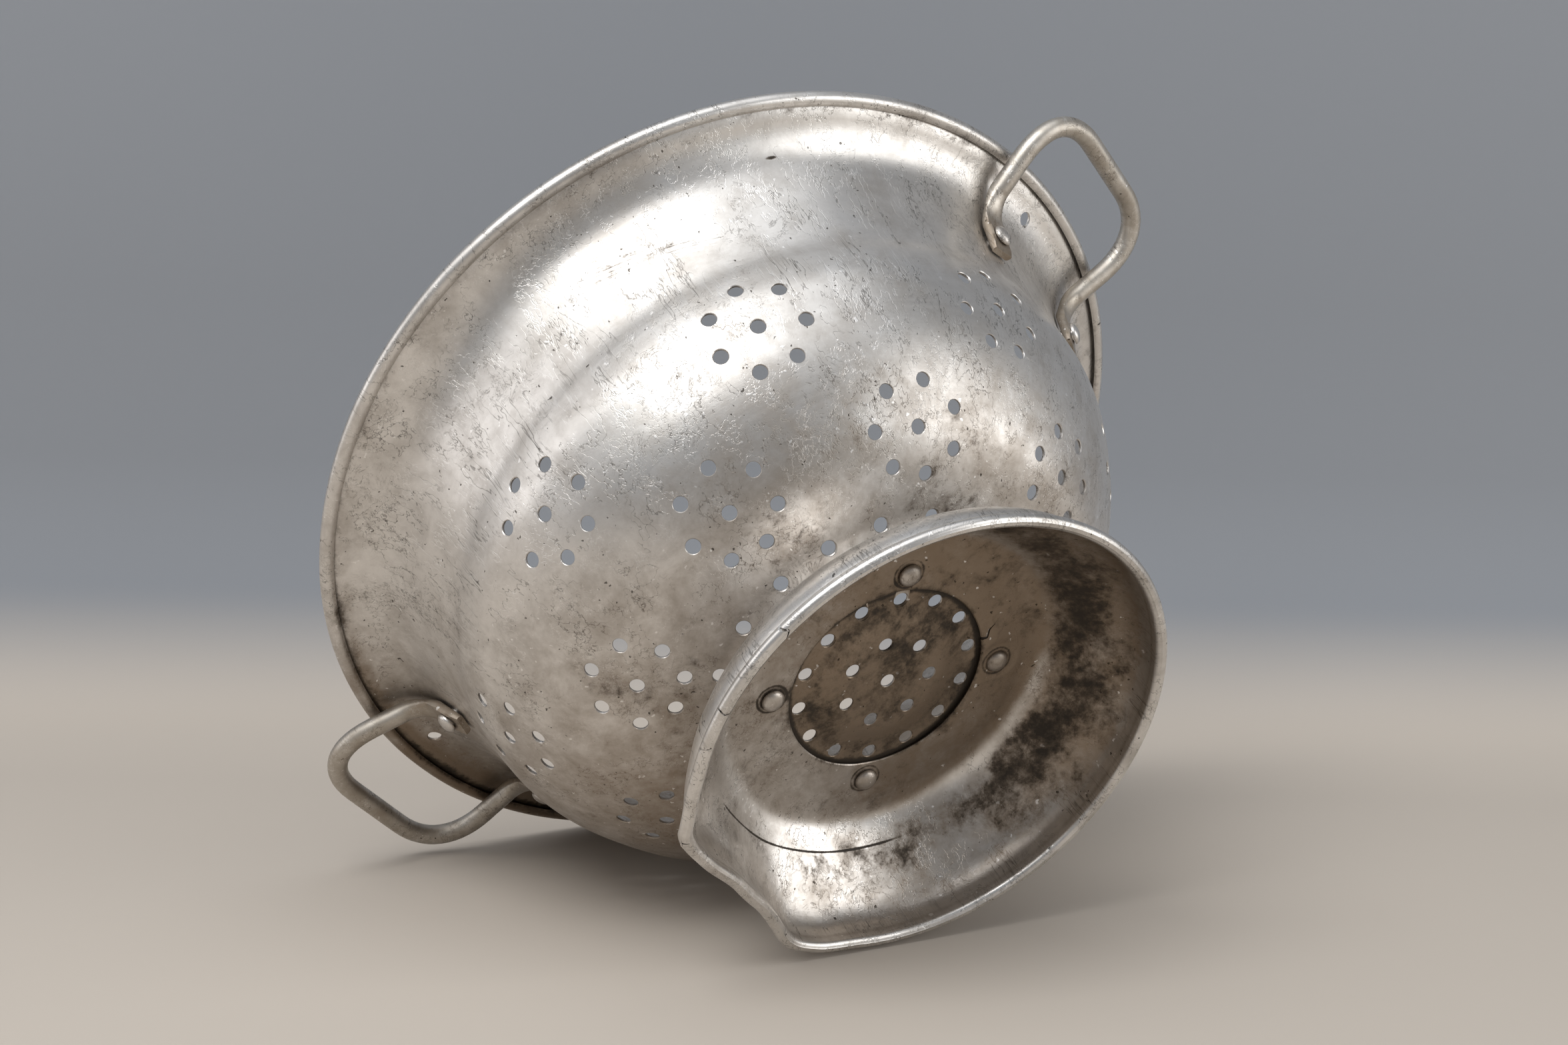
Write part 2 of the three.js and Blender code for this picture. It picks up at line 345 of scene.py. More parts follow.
def cluster(azimuth, height, ring, turn):
    """One hole with seven round it."""
    middle = wall.rise(height)
    spots = [on_wall(middle, azimuth)]
    for i in range(7):
        a = math.radians(turn + 360 * i / 7)
        reach = middle + ring * math.cos(a)
        radius = (wall.at(reach)[0].x + wall.at(middle)[0].x) / 2
        spots.append(on_wall(reach, azimuth + math.degrees(ring * math.sin(a) / radius)))
    return spots


# Two rows of clusters round the wall. One cluster of the lower row was punched low and turned.
UPPER_ROW = 83
LOWER_ROW = 50.2
ODD_CLUSTER = 5
drains = []
for k in range(8):
    drop, twist = (2, 10.2) if k == ODD_CLUSTER else (0, 0)
    drains += cluster(22.5 + 45 * k, UPPER_ROW, 15.1, 0)
    drains += cluster(45 * k, LOWER_ROW - drop, 14.9, 66.5 - twist)

# Single holes low on the wall, two rings and a middle hole in the bottom, and a hanging hole between the legs
# of each handle.
for k in range(20):
    drains.append(on_wall(wall.rise(40.3), -3 + 18 * k))
for count, radius, first, sunk in ((14, 30.25, 4, 0), (7, 15.2, -9, SUNK), (1, 0, 0, SUNK)):
    for k in range(count):
        drains.append((polar(radius, first + 360 * k / count, BOTTOM - sunk), DOWN))
for side in (1, -1):
    drains.append((Vector((side * 136.5, -8, 145.3)), Vector((side * 0.35, 0, -0.94))))
punches = [copy_to(punch, "punch", stand(at, normal)) for at, normal in drains]

# Holes for the rivets. Those of the handles are square to the legs, which lean out like the wall.
lean = math.atan2(KNEE[0] - TIP[0], KNEE[1] - TIP[1])
rivet_spots = []
for azimuth in (LEG_AZIMUTH, 180 - LEG_AZIMUTH, 180 + LEG_AZIMUTH, -LEG_AZIMUTH):
    at = on_wall(wall.rise(WALL_RIVETS), azimuth)[0]
    rivet_spots.append((at, polar(math.cos(lean), azimuth, -math.sin(lean))))
foot_spots = [(polar(FOOT_RIVETS, FOOT_RIVET_AZIMUTH + 90 * k, BOTTOM), DOWN) for k in range(4)]
drill = spun("rivet_drill", [(0, REACH), (RIVET_HOLE, REACH), (RIVET_HOLE, -REACH), (0, -REACH)], 24)
punches += [copy_to(drill, "drilled", stand(at, normal)) for at, normal in rivet_spots + foot_spots]
cut(bowl, punches)

# The bowl's outer face is marked, so that only it gets the dirt round the foot, the painted shadow at the
# seat's lip and the painted shade under the rim.
mark_side(bowl, "outside", 0.8, -0.6)

# --------------------------------------------------------------------------------------------------
# Foot
# --------------------------------------------------------------------------------------------------

# From the rolled edge up to the seat.
skirt = Outside(
    [
        (FOOT_EDGE[0] - FOOT_ROLL + SHEET, FOOT_ROLL),
        (80.4, 9),
        (77.4, 15.4),
        (71.3, 21.6),
        (65.5, 27.4),
        (60.6, 32.2),
        (56.6, 34.7),
        (51.5, SEAT),
    ]
)
flat_seat = [(50.5 - 0.9 * i, SEAT) for i in range(18)]
LIP = 34.3
seat = flat_seat + [(LIP + 0.3, SEAT - 0.1), (LIP, SEAT - 0.35)]
under_seat = [(LIP, SEAT - 0.65), (LIP + 0.3, SEAT - 0.95), *[(r, z - SHEET) for r, z in flat_seat[::-1]]]
SKIRT_STEP = 1.4
WORN_FLAT = 0.6
foot_outline = [
    *under_seat,
    *skirt.skin(SKIRT_STEP, SHEET)[::-1],
    *arc(FOOT_EDGE, FOOT_ROLL, 180, 250, 5),
    (FOOT_EDGE[0] - WORN_FLAT, 0),
    (FOOT_EDGE[0] + WORN_FLAT, 0),
    *arc(FOOT_EDGE, FOOT_ROLL, -70, 108, 14),
    *arc(FOOT_EDGE, FOOT_ROLL - SHEET, 108, -180, 14),
    *skirt.skin(SKIRT_STEP),
    *seat,
    under_seat[0],
]
foot = spun("colander_foot", foot_outline, 256)

# The edge was dropped on its side: a long flat knocked in, with the metal bulged out at both ends of it.
push(foot, polar(83, 182, 1), 6, polar(-6.9, 181, 0), 30)
push(foot, polar(84, 156, 1), 5, polar(1.7, 156, 0), 17)
push(foot, polar(84, 214, 1), 4, polar(1.2, 214, 0), 18)
push(foot, polar(84, 210, 1), 3, polar(2.0, 210, 0), 12, "SHARP")

# Each rivet sits in a shallow dish pressed into the seat.
for at, normal in foot_spots:
    push(foot, at, 5.6, (0, 0, 0.25), 3.4)
    push(foot, at, 4.2, (0, 0, -0.25), 3.0)
# On one side the seat's lip has lifted off the bowl.
push(foot, polar(34.5, 70, SEAT - 0.5), 11, (0, 0, -0.6), 22)
push(foot, polar(34.5, 26, SEAT - 0.5), 4, (0, 0, -0.4), 9)


def crack(route, width, deep):
    """A torn crack: thin wedges that follow a route on the sheet and reach right through it."""
    overlap = 0.1
    half_height = 3
    wedges = []
    for (here, thick), (there, thin) in zip(route, route[1:]):
        bpy.ops.object.select_all(action="DESELECT")
        bpy.ops.mesh.primitive_cube_add(size=1)
        wedge = bpy.context.object
        way = (there - here).normalized()
        side = deep.cross(way).normalized()
        for vertex in wedge.data.vertices:
            far_end = vertex.co.x > 0
            end = there + way * overlap if far_end else here - way * overlap
            half = (thin if far_end else thick) * width / 2
            across = side * math.copysign(half, vertex.co.y)
            vertex.co = (end + across + deep * math.copysign(half_height, vertex.co.z)) * MM
        close_and_turn_out(wedge, SAME_POINT)
        wedges.append(wedge)
    return wedges


# Three cracks run in from the rolled edge, and one runs out from the seat's lip.
EDGE_CRACKS = ((-97.0, 0.9, 2.0, 84.6), (-116.6, 0.6, -0.8, 84.6), (209.2, 0.7, 0.3, 88.5))
for azimuth, width, tilt, outer in EDGE_CRACKS:
    route = [
        (polar(outer, azimuth, 2.5), 1.0),
        (polar(outer - 2.4, azimuth + tilt, 0), 0.7),
        (polar(outer - 4.4, azimuth, 1), 0.2),
    ]
    cut(foot, crack(route, width, -DOWN))
torn = [
    (polar(34.0, 25.5, SEAT), 1.0),
    (polar(36.4, 26.2, SEAT), 0.6),
    (polar(37.6, 21.8, SEAT), 0.5),
    (polar(39.8, 20.2, SEAT), 0.15),
]
for start in range(3):
    cut(foot, crack(torn[start : start + 2], 1.3, -DOWN))

cut(foot, [copy_to(drill, "drilled", stand(at, normal)) for at, normal in foot_spots])

# The face that looks into the foot is marked, so that its finish can be dirtier there and painted darker along
# the seat's lip.
mark_side(foot, "inside", -0.8, -0.6)

# --------------------------------------------------------------------------------------------------
# Handles
# --------------------------------------------------------------------------------------------------


def leg(side):
    """Corners of one leg, from its tip on the wall to the grip, and the bend at each."""
    return [
        (polar(TIP[0], side * LEG_AZIMUTH, TIP[1]), 0),
        (polar(KNEE[0], side * LEG_AZIMUTH, KNEE[1]), 16),
        (polar(135.6, side * LEG_AZIMUTH, 139.4), 9),
        (Vector((GRIP_X, side * GRIP_HALF, GRIP_Z)), 20),
    ]


def rod(name):
    """A round rod bent at its corners: a Bezier curve with a knot at each end of every bend."""
    pull = 0.62
    straight = 2
    corners = leg(-1) + leg(1)[::-1]
    points = [point for point, bend in corners]
    knots = [(points[0], points[0], points[0])]
    for before, (here, bend), after in zip(points, corners[1:], points[2:]):
        back, on = (before - here).normalized(), (after - here).normalized()
        trim = bend / math.tan(back.angle(on) / 2)
        start, end = here + back * trim, here + on * trim
        knots.append((start, start + back * straight, start.lerp(here, pull)))
        knots.append((end, end.lerp(here, pull), end + on * straight))
    knots.append((points[-1], points[-1], points[-1]))
    bpy.ops.object.select_all(action="DESELECT")
    bpy.ops.curve.primitive_bezier_curve_add(radius=MM)
    piece = bpy.context.object
    piece.name = name
    bpy.ops.object.transform_apply(location=True, rotation=True, scale=True)
    piece.data.dimensions = "3D"
    piece.data.resolution_u = 14
    piece.data.bevel_depth = ROD * MM
    piece.data.bevel_resolution = 8
    piece.data.use_fill_caps = True
    piece.data.twist_mode = "MINIMUM"
    bends = piece.data.splines[0].bezier_points
    bends.add(len(knots) - len(bends))
    for bend, (here, before, after) in zip(bends, knots):
        bend.handle_left_type = bend.handle_right_type = "FREE"
        bend.co, bend.handle_left, bend.handle_right = here * MM, before * MM, after * MM
    only(piece)
    bpy.ops.object.convert(target="MESH")
    close_and_turn_out(piece, 5 * SAME_POINT)
    return piece


def hammer_ends(piece):
    """Beats both ends of the rod into flat paddles that lie along the wall."""
    paddle = 24
    run_out = 11
    half_thick = 1.65
    spread = 1.4
    taper, taper_length = 1.1, 6
    round_tip, round_length = 0.10, 3
    for side in (1, -1):
        tip, knee = leg(side)[0][0] * MM, leg(side)[1][0] * MM
        along = (knee - tip).normalized()
        across = polar(1, side * LEG_AZIMUTH + 90, 0)
        out = across.cross(along).normalized()
        for vertex in piece.data.vertices:
            if vertex.co.y * side < 0:
                continue
            from_tip = vertex.co - tip
            up, deep, aside = [from_tip.dot(way) / MM for way in (along, out, across)]
            if up > paddle or abs(deep) > 9:
                continue
            share = min(max((paddle - up) / run_out, 0), 1)
            flat = share * share * (3 - 2 * share)
            face = half_thick - (taper * max(0, 1 - up / taper_length) if deep > 0 else 0)
            thin = math.copysign(min(abs(deep) * 0.95, face), deep)
            wide = aside * spread * (1 - round_tip * max(0, 1 - up / round_length))
            vertex.co += (out * (thin - deep) + across * (wide - aside)) * flat * MM


right = rod("grip_right")
hammer_ends(right)
left = copy_to(right, "grip_left", Matrix.Rotation(math.pi, 4, "Z"))
for piece, spots in ((right, (rivet_spots[0], rivet_spots[3])), (left, (rivet_spots[1], rivet_spots[2]))):
    cut(piece, [copy_to(drill, "drilled", stand(at, normal)) for at, normal in spots])
    edge = piece.modifiers.new("soft_edges", "BEVEL")
    edge.width = 0.35 * MM
    edge.segments = 2
    edge.limit_method = "ANGLE"
    edge.angle_limit = math.radians(50)
    apply_all(piece)
scrap(drill)
scrap(punch)

# --------------------------------------------------------------------------------------------------
# Rivets
# --------------------------------------------------------------------------------------------------


def rivet(name, grip, tail):
    """A rivet with a domed head outside and a low hammered head inside."""
    shank = 2.3
    underside = 3.65
    head, dome, skirt_height = 3.8, 2.1, 0.35
    cap = []
    for i in range(9):
        a = math.pi / 2 * i / 9
        cap.append((head * math.cos(a), grip + skirt_height + dome * math.sin(a)))
    low = -(SHEET + tail)
    outline = [
        (0, low - 1.1),
        (2.4, low - 1.05),
        (3.2, low - 0.8),
        (3.7, low - 0.3),
        (underside, low),
        (shank, low),
        (shank, grip),
        (underside, grip),
        *cap,
        (0, grip + skirt_height + dome),
    ]
    return spun(name, outline, 40)


# Each outer head stands a little off its paddle or seat, and each inner head a little off the bowl.
HANDLE_GRIP = 4.25
FOOT_GRIP = SHEET + 0.6
rivets = []
for outside_grip, tail, spots, label in (
    (HANDLE_GRIP, 0.8, rivet_spots, "handle"),
    (FOOT_GRIP, 0.35, foot_spots, "foot"),
):
    made = rivet("rivet", outside_grip, tail)
    for i, (at, normal) in enumerate(spots):
        twin = copy_to(made, f"{label}_stud_{i + 1}", stand(at, normal))
        rivets.append((twin, f"{label}_rivet_{i + 1}"))
    scrap(made)

SHARP_EDGE = math.radians(38)
for piece in [bowl, foot, right, left] + [twin for twin, node in rivets]:
    only(piece)
    bpy.ops.object.shade_smooth_by_angle(angle=SHARP_EDGE)

# --------------------------------------------------------------------------------------------------
# Finishes
# --------------------------------------------------------------------------------------------------


class Wire:
    """An output of a shader node. Arithmetic on it adds Math nodes."""

    def __init__(self, finish, socket):
        self.finish = finish
        self.socket = socket

    def sum(self, operation, first, second):
        return self.finish.sum_of(operation, first, second)

    def __add__(self, other):
        return self.sum("ADD", self, other)

    def __radd__(self, other):
        return self.sum("ADD", other, self)

    def __sub__(self, other):
        return self.sum("SUBTRACT", self, other)

    def __rsub__(self, other):
        return self.sum("SUBTRACT", other, self)

    def __mul__(self, other):
        return self.sum("MULTIPLY", self, other)

    def __rmul__(self, other):
        return self.sum("MULTIPLY", other, self)

    def __pow__(self, other):
        return self.sum("POWER", self, other)

    def __abs__(self):
        return self.sum("ABSOLUTE", self, 0.0)


class Finish:
    """A metal finish being mixed."""

    def __init__(self, name):
        self.material = bpy.data.materials.new(name)
        self.material.use_nodes = True
        self.tree = self.material.node_tree
        self.tree.nodes.clear()
        self.place = self.node("ShaderNodeTexCoord", out="Object")
        split = {0: self.place}
        self.x, self.y, self.z = [self.node("ShaderNodeSeparateXYZ", {}, split, axis) for axis in "XYZ"]
        self.r = (self.x * self.x + self.y * self.y) ** 0.5
        self.turn = self.sum_of("ARCTAN2", self.y, self.x)

    def node(self, kind, settings=None, inputs=None, out=0):
        """Adds a node, with its settings first and then its inputs, and returns one output."""
        made = self.tree.nodes.new(kind)
        for key, value in (settings or {}).items():
            setattr(made, key, value)
        for key, value in (inputs or {}).items():
            if isinstance(value, Wire):
                self.tree.links.new(value.socket, made.inputs[key])
            else:
                made.inputs[key].default_value = value
        return Wire(self, made.outputs[out])

    def sum_of(self, operation, first, second):
        """One Math node on two values."""
        return self.node("ShaderNodeMath", {"operation": operation}, {0: first, 1: second})

    def step(self, value, low, high):
        """0 below low, 1 above high, smooth between."""
        return self.node(
            "ShaderNodeMapRange",
            {"interpolation_type": "SMOOTHSTEP"},
            {"Value": value, "From Min": low, "From Max": high},
        )

    def band(self, value, middle, half):
        """1 at the middle of a band, fading to 0 at its edges."""
        return 1 - self.step(abs(value - middle), 0.0, half)

    def noise(self, scale, detail, rough, place=None, warp=0.0):
        """Cloudy noise from 0 to 1, on the object's own coordinates unless others are given."""
        inputs = {"Vector": place or self.place, "Scale": scale}
        inputs |= {"Detail": detail, "Roughness": rough, "Distortion": warp}
        return self.node("ShaderNodeTexNoise", {}, inputs)

    def stretched(self, size, turn, shift=(0, 0, 0)):
        """Object coordinates turned and stretched."""
        inputs = {"Vector": self.place, "Location": shift, "Rotation": turn, "Scale": size}
        return self.node("ShaderNodeMapping", {}, inputs)

    def scratches(self, turn, density, width, shift=(0, 0, 0)):
        """Hairline scratches that run one way."""
        field = self.noise(density, 3.0, 0.6, self.stretched((1, 1, 0.045), turn, shift))
        gaps = self.noise(density * 0.35, 1.0, 0.5, self.stretched((1, 1, 0.5), turn, shift))
        return self.band(field, 0.5, width) * self.step(gaps, 0.5, 0.62)

    def together(self, first, second, third):
        """A vector of three values."""
        return self.node("ShaderNodeCombineXYZ", {}, {0: first, 1: second, 2: third})

    def dash(self, azimuth, height, half_turn, half_height):
        """A short mark on the wall, at an azimuth in radians."""
        return self.band(self.turn, azimuth, half_turn) * self.band(self.z, height, half_height)

    def mix(self, factor, first, second):
        """A colour between two: the node's factor is socket 0, its colours 6 and 7, its result output 2."""
        inputs = {0: factor, 6: first, 7: second}
        return self.node("ShaderNodeMix", {"data_type": "RGBA"}, inputs, 2)

    def lay(self, surface):
        """Joins a shader to the material's output."""
        output = self.tree.nodes.new("ShaderNodeOutputMaterial")
        self.tree.links.new(surface.socket, output.inputs["Surface"])
        return self.material

    def metal(self, colour, roughness, metallic, height):
        """Joins colour, gloss and relief into a metal surface."""
        bump = self.node("ShaderNodeBump", {}, {"Height": height, "Strength": 1.0, "Distance": RELIEF})
        inputs = {"Base Color": colour, "Roughness": roughness, "Metallic": metallic, "Normal": bump}
        return self.lay(self.node("ShaderNodeBsdfPrincipled", {}, inputs))


# How deep the bump of a height of 1 is, and the colours of the metal, its dirt and its painted shade.
RELIEF = 0.07 * MM
BARE = (0.80, 0.775, 0.745, 1)
DULL = (0.55, 0.522, 0.49, 1)
SCUFF = (0.13, 0.12, 0.11, 1)
FILM_AND_SHADE = (0.25, 0.185, 0.125, 1)
CHAR_AND_SHADE = (0.085, 0.060, 0.038, 1)
SOOT_AND_SHADE = (0.026, 0.018, 0.011, 1)
BRIGHT = (0.93, 0.91, 0.89, 1)
ROD_BARE = (0.70, 0.67, 0.62, 1)
ROD_DULL = (0.52, 0.485, 0.43, 1)


def worn_metal(f, seed, film_and_shade, soot_and_shade, rough, spun_lines=1.0, tones=(BARE, DULL)):
    """Old aluminium: cloudy and scratched, with a brown film and black soot, and painted shade in the same
    colours, where their masks say.
    """
    place = f.stretched((1, 1, 1), (0, 0, 0), seed)
    cloud = f.noise(12, 5.0, 0.6, place, 0.5)
    mottle = f.noise(75, 6.0, 0.68, place, 0.3)
    grain = f.noise(330, 5.0, 0.72, place)
    rings = f.noise(1.0, 4.0, 0.7, f.together(f.r * 900, f.z * 900, f.turn * 2.2))
    colour = f.mix(f.step(cloud * 0.5 + mottle * 0.5, 0.36, 0.64), *tones)

    # Scuffs: torn dark lines in patches, and fine hairlines crossing every way.
    patches = f.step(f.noise(26, 3.0, 0.6, f.stretched((1, 1, 1), (0.5, 0, 0), seed)), 0.46, 0.64)
    marks = f.band(f.noise(95, 5.0, 0.74, place, 1.2), 0.5, 0.026) * patches * f.step(grain, 0.40, 0.56)
    hair = f.scratches((0.3, 0.2, 0.1), 300, 0.020, seed)
    hair = hair + f.scratches((1.3, 0.5, 0.4), 240, 0.018, (3, 1, 2))
    dark_hair = f.scratches((0.7, 1.4, 1.2), 260, 0.018, (1, 5, 3))
    dark_hair = dark_hair + f.scratches((2.2, 0.3, 2.6), 180, 0.016, (4, 4, 1))
    nicks = f.step(f.noise(380, 2.0, 0.5, place), 0.70, 0.75)
    specks = f.step(f.noise(520, 2.0, 0.5, f.stretched((1, 1, 1), (0, 1, 0), seed)), 0.715, 0.745)
    colour = f.mix(marks * 0.5, colour, SCUFF)
    colour = f.mix(hair * 0.45, colour, BRIGHT)
    colour = f.mix(dark_hair * 0.60, colour, SCUFF)

    # Dirt and painted shade: where its mask is strong it is whole, and where it is weak the noise breaks it
    # into spots.
    stained_and_shaded = f.step(film_and_shade + 0.35 * (cloud - 0.5) + 0.55 * (mottle - 0.5) + 0.25 * (grain - 0.5), 0.05, 0.95)
    blotch = 0.5 * f.noise(34, 4.0, 0.65, place, 0.5) + 0.5 * f.noise(105, 6.0, 0.72, place, 0.3)
    charred_and_shaded = f.step(soot_and_shade + 2.5 * (blotch - 0.5) + 0.7 * (mottle - 0.5) + 0.7 * (grain - 0.5), 0.20, 0.72)
    sooty_and_shaded = f.step(soot_and_shade + 2.2 * (blotch - 0.5) + 1.3 * (mottle - 0.5) + 1.3 * (grain - 0.5), 0.46, 0.95)
    colour = f.mix(stained_and_shaded * 0.92, colour, FILM_AND_SHADE)
    colour = f.mix(charred_and_shaded * 0.85, colour, CHAR_AND_SHADE)
    colour = f.mix(sooty_and_shaded * 0.95, colour, SOOT_AND_SHADE)
    colour = f.mix(specks * 0.8, colour, SOOT_AND_SHADE)
    colour = f.mix(nicks * 0.75 * (1 - charred_and_shaded), colour, BRIGHT)

    # Dirt and painted shade are rougher than metal and less metallic, and each mark has its own relief.
    roughness = rough + 0.20 * (cloud - 0.5) + 0.22 * (mottle - 0.5)
    roughness = roughness + stained_and_shaded * 0.05 + charred_and_shaded * 0.10 + sooty_and_shaded * 0.12 - hair * 0.05
    roughness = roughness + spun_lines * 0.10 * (rings - 0.5)
    metallic = 1.0 - stained_and_shaded * 0.10 - charred_and_shaded * 0.35 - sooty_and_shaded * 0.4
    fine = f.noise(900, 2.0, 0.6, place)
    height = fine * 0.12 + mottle * 0.55 - (hair + dark_hair) * 0.35
    height = height + nicks * 0.3 - marks * 0.35 - specks * 0.4 + charred_and_shaded * 0.3
    height = height + spun_lines * 0.22 * rings
    return f.metal(colour, roughness, metallic, height)


def bowl_finish():
    """The bowl: painted darker and browner on the side toward the table and under the rim, as painted shade and
    a painted reflection of a brown table, with a painted shadow at the seat's lip; stained round the foot and
    over its sunk bottom.
    """
    f = Finish("worn_and_shaded_bowl")
    outside = f.node("ShaderNodeAttribute", {"attribute_name": "outside"}, {}, "Fac")
    up = f.x * TABLE_UP.x + f.y * TABLE_UP.y + f.z * TABLE_UP.z
    # The side that faces the table, and the flange on that side, are painted darker and browner: painted shade
    # and a painted reflection of a dark brown table.
    table_side_shade = 1 - f.step(up, -0.075, 0.055)
    low = 1 - f.step(f.z, 0.038, 0.082)
    flange = f.step(f.r, 0.126, 0.143)
    # The groove under the rim's roll is darkened, and darker still on the side toward the table, where it is
    # painted shade.
    groove = f.band(f.r, 0.1448, 0.0036) * f.step(f.z, 0.1400, 0.1465) * (1 - f.step(f.z, 0.1482, 0.1500))
    # The band under the rim's roll is painted darker and browner, most on the side toward the table: painted
    # shade and a painted reflection.
    under_rim_shade = f.step(f.r, 0.1385, 0.1440) * outside * (1 - f.step(f.r, 0.1450, 0.1475)) * (0.3 + 0.7 * table_side_shade)
    # A painted shadow where the seat's lip stands on the bottom.
    lip_shadow = f.band(f.r, LIP * MM, 0.0024) * outside
    disc = (1 - f.step(f.r, 0.0335, 0.0360)) * outside
    centre = disc * (1 - f.step(f.r, 0.004, 0.024))
    halo = disc * f.band(f.r, 0.0262, 0.0040)

    # A rub mark sweeps up and round the wall, and a few short nicks sit on the flange.
    fall = 0.015 / math.radians(36)
    height = 0.132 - (f.turn + math.pi / 2) * fall
    frayed = f.noise(1.0, 4.0, 0.75, f.together(f.turn * 5, (f.z - height) * 1500, 0.0))
    sweep = f.band(f.z - height, 0.0, 0.0085) * f.step(frayed, 0.36, 0.66) * outside
    sweep = sweep * f.step(f.turn, -1.66, -1.42) * (1 - f.step(f.turn, -1.05, -0.82))
    slot = f.dash(math.radians(-51.8), 0.1416, math.radians(1.4), 0.0007)
    line = f.band(f.turn, math.radians(-46.4), 0.0016)
    line = line * f.step(f.z, 0.1330, 0.1345) * (1 - f.step(f.z, 0.1435, 0.145))

    # The film and soot masks also carry the painted shade, painted reflection and painted shadow set out above.
    film_and_shade = 0.10 + table_side_shade * 0.50 + low * 0.30 + flange * table_side_shade * 0.42
    film_and_shade = film_and_shade + under_rim_shade * 0.45 + disc * 0.62 + lip_shadow * 0.5 + halo * 0.25
    patch = f.step(f.noise(21, 2.0, 0.5, f.stretched((1, 1, 1), (0, 0, 0.9), (7, 2, 5))), 0.50, 0.62)
    soot_and_shade = -0.10 + table_side_shade * 0.10 + low * outside * (0.14 + 0.19 * patch)
    soot_and_shade = soot_and_shade + under_rim_shade * 0.16 + groove * (0.30 + 0.40 * table_side_shade) + lip_shadow * 0.85 + centre * 0.16
    soot_and_shade = soot_and_shade + disc * 0.26 + halo * 0.12 + sweep * 0.48 + slot * 1.3 + line * 0.5
    return worn_metal(f, (0, 0, 0), film_and_shade, soot_and_shade, 0.40)


def foot_finish():
    """The foot: bright outside and along its edge, brown film and soot inside, worst on one side, with painted
    shade along the seat's lip.
    """
    f = Finish("worn_and_shaded_foot")
    inside = f.node("ShaderNodeAttribute", {"attribute_name": "inside"}, {}, "Fac")
    above_edge = f.step(f.z, 0.004, 0.012)
    sheltered = f.node("ShaderNodeMath", {"operation": "COSINE"}, {0: f.turn - math.radians(22)})
    skirt = f.step(f.z, 0.005, 0.018) * (1 - f.step(f.z, 0.0300, 0.0340))
    upper_skirt = f.band(f.z, 0.0250, 0.0095)
    seat_face = f.step(f.z, 0.0325, 0.0342)
    corner = f.band(f.r, 0.0580, 0.0045) * f.step(f.noise(24, 3.0, 0.6), 0.36, 0.62)
    # The edge of the seat's lip is painted darker where it meets the bowl: painted shade.
    lip_shade = 1 - f.step(f.r, LIP * MM, 0.0362)
    film_and_shade = 0.10 + inside * above_edge * (0.46 + 0.26 * sheltered + 0.16 * seat_face - 0.42 * corner)
    gathered_and_shaded = 0.18 + skirt * (0.10 + 0.32 * sheltered) + upper_skirt * 0.30
    gathered_and_shaded = gathered_and_shaded + seat_face * 0.14 - corner * 0.14 + lip_shade * 0.30
    soot_and_shade = inside * above_edge * gathered_and_shaded - 0.14

    # A dark ring is set round each rivet, and soot gathers against its head.
    eighth = math.pi / 4
    from_first = f.turn - math.radians(FOOT_RIVET_AZIMUTH)
    fold = f.node("ShaderNodeMath", {"operation": "WRAP"}, {0: from_first, 1: eighth, 2: -eighth})
    beside = f.r * f.node("ShaderNodeMath", {"operation": "SINE"}, {0: fold})
    beyond = f.r * f.node("ShaderNodeMath", {"operation": "COSINE"}, {0: fold}) - FOOT_RIVETS * MM
    near = (beside * beside + beyond * beyond) ** 0.5
    ring = f.band(near, 0.0051, 0.0008) * 0.55 + f.band(near, 0.0039, 0.0009) * 0.45
    soot_and_shade = soot_and_shade + inside * seat_face * ring

    # A scored line runs part of the way round the inside.
    wander = 0.0270 + 0.0020 * (f.noise(14, 2.0, 0.5) - 0.5)
    round_it = f.node("ShaderNodeMath", {"operation": "COSINE"}, {0: f.turn - math.radians(158)})
    score = f.band(f.z, wander, 0.00042) * inside * f.step(round_it, 0.78, 0.87)
    soot_and_shade = soot_and_shade + score * 0.9
    film_and_shade = film_and_shade + f.band(f.z, 0.0042, 0.0016) * inside * 0.3
    return worn_metal(f, (2, 4, 1), film_and_shade, soot_and_shade, 0.36)


def rod_finish():
    """The rod: rubbed smooth by hands, dirty only where it meets the wall."""
    f = Finish("worn_rod")
    root = 1 - f.step(f.r, 0.124, 0.140)
    tones = (ROD_BARE, ROD_DULL)
    return worn_metal(f, (5, 1, 3), 0.36 + root * 0.25, root * 0.22 - 0.05, 0.45, 0.0, tones)


def rivet_finish():
    """The rivets: dull, and brown with stain under the foot."""
    f = Finish("worn_rivet")
    under = 1 - f.step(f.z, 0.05, 0.1)
    return worn_metal(f, (1, 7, 2), 0.22 + under * 0.30, 0.04 + under * 0.12, 0.40, 0.0)


bowl_metal = bowl_finish()
foot_metal = foot_finish()
rod_metal = rod_finish()
rivet_metal = rivet_finish()

# --------------------------------------------------------------------------------------------------
# Onto the frame
# --------------------------------------------------------------------------------------------------

fittings = [
    (bowl, "bowl", "spun_sheet", bowl_metal),
    (foot, "foot_ring", "foot_sheet", foot_metal),
    (right, "handle_right", "rod", rod_metal),
    (left, "handle_left", "rod", rod_metal),
] + [(twin, node, "rivet", rivet_metal) for twin, node in rivets]
for piece, node, slot, metal in fittings:
    piece.data.materials.clear()
    piece.data.materials.append(metal)
    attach(piece, "root")
    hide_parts(node)

# --------------------------------------------------------------------------------------------------
# Table, light and camera
# --------------------------------------------------------------------------------------------------

# The colander lies on its side, so the table leans in the colander's frame. It lies just under the lowest
# point of the rim.
GAP = 0.4
lean_out = math.hypot(TABLE_UP.x, TABLE_UP.y)
rim_touch = RIM[1] * TABLE_UP.z - RIM[0] * lean_out - RIM_ROLL
table_at = TABLE_UP * (rim_touch - GAP) * MM

